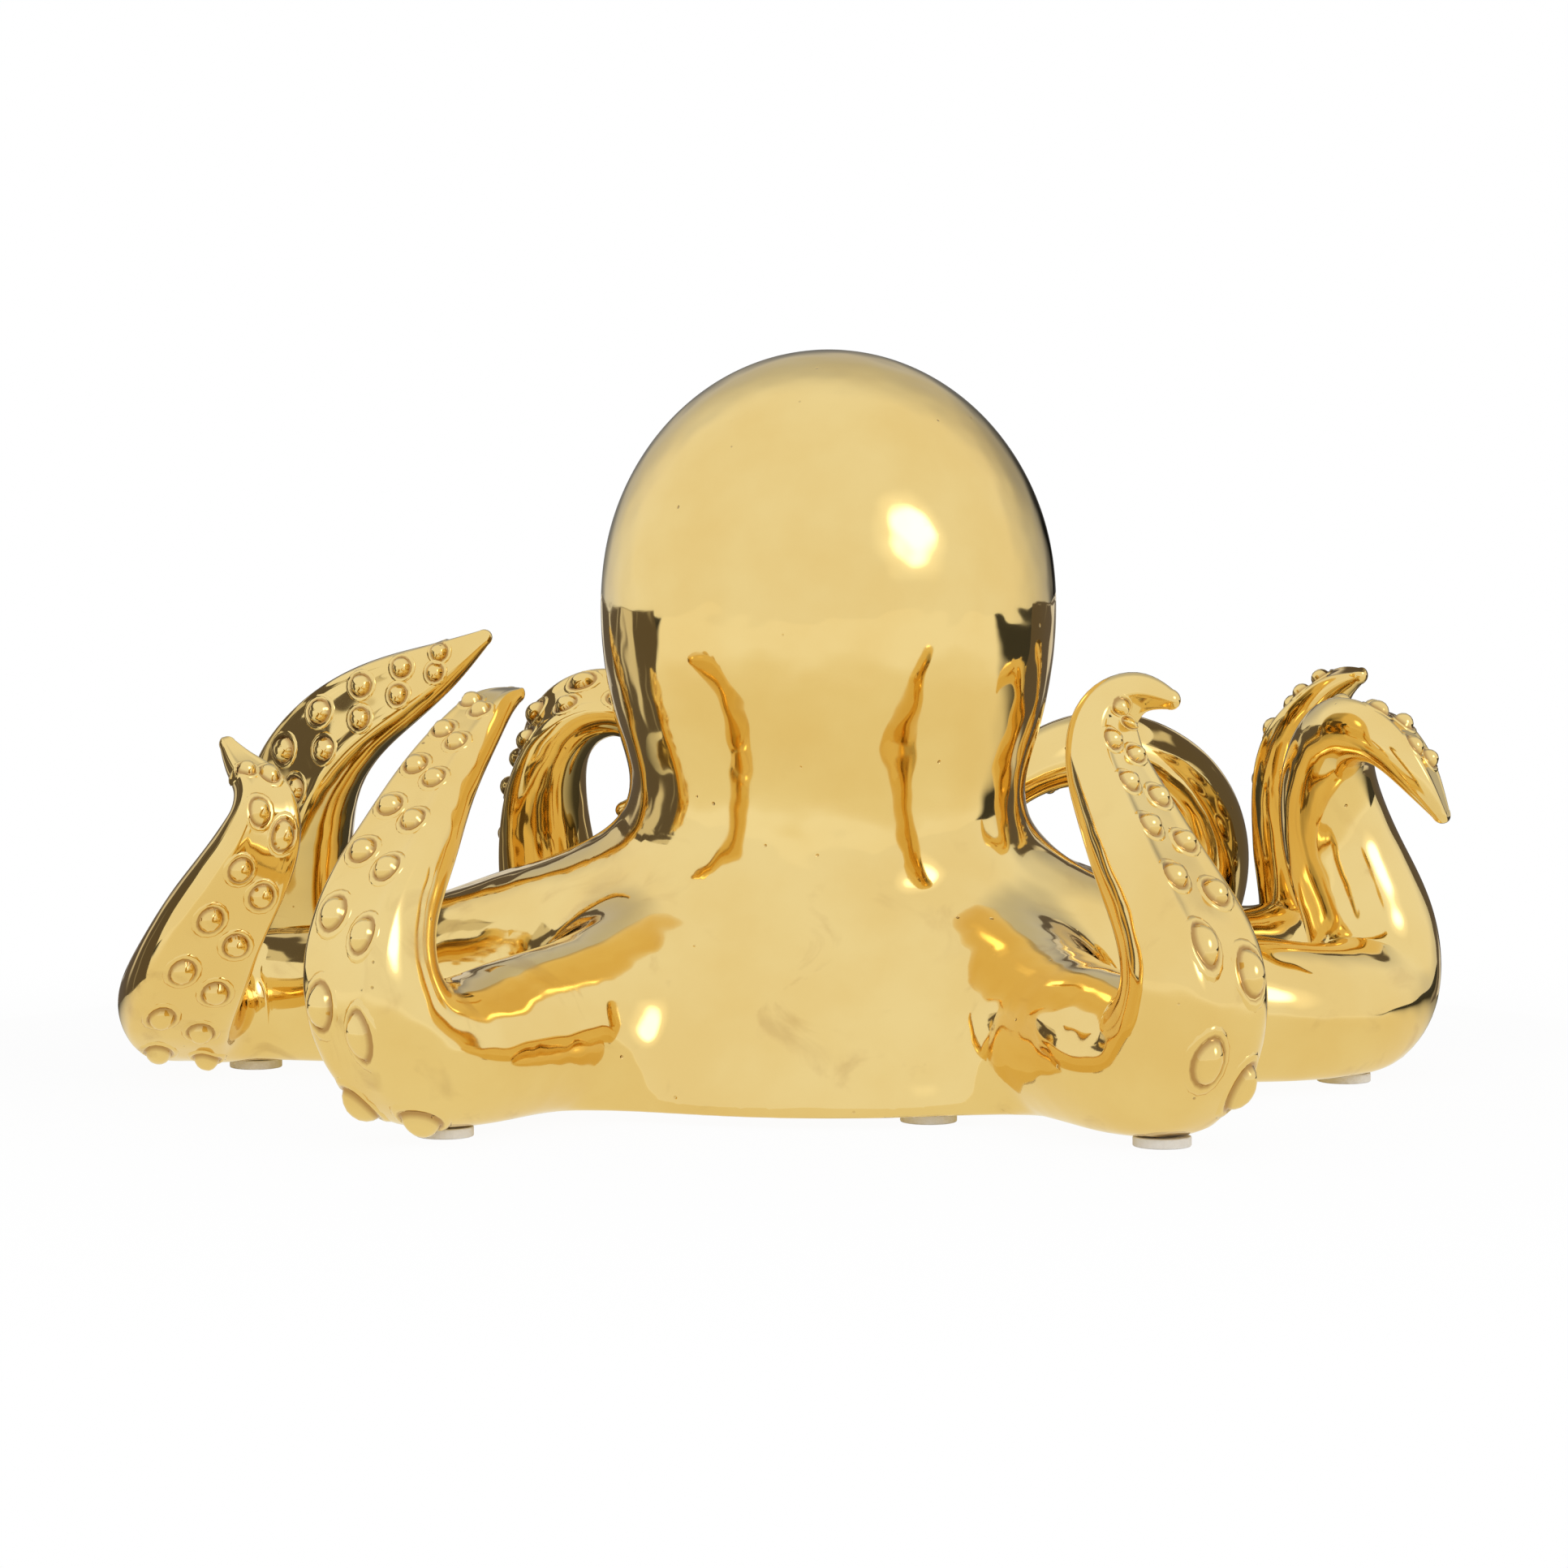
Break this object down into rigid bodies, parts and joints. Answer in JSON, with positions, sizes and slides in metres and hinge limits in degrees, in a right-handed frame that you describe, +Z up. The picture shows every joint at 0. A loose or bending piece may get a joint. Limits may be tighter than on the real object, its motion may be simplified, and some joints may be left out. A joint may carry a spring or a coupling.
{
  "type": "octopus figurine",
  "caption": "Glossy gold-lustre ceramic octopus with a tall plain dome head and curling suckered arms, resting on round felt pads.",
  "frame": {"origin": "middle of the footprint box, on the surface that the pads stand on", "axes": "+Z up, +X to the right as seen in the picture, +Y away from its camera, towards the figure's face"},
  "size_m": [0.3482, 0.2722, 0.1906],
  "materials": {
    "lustre_glaze": "mirror-bright gold lustre over a glazed slip-cast ceramic body",
    "felt_pad": "pale grey pressed felt, self-adhesive, with a soft nap"
  },
  "bodies": {
    "root": {"arm_back_left": "lustre_glaze", "arm_back_right": "lustre_glaze", "arm_front_left": "lustre_glaze", "arm_front_right": "lustre_glaze", "arm_left": "lustre_glaze", "arm_rear_left": "lustre_glaze", "arm_rear_right": "lustre_glaze", "arm_right": "lustre_glaze", "mantle": "lustre_glaze", "pad_back_left": "felt_pad", "pad_back_right": "felt_pad", "pad_front_left": "felt_pad", "pad_front_right": "felt_pad", "pad_left": "felt_pad", "pad_rear_left": "felt_pad", "pad_rear_right": "felt_pad", "pad_right": "felt_pad", "pad_web": "felt_pad"}
  },
  "joints": []
}
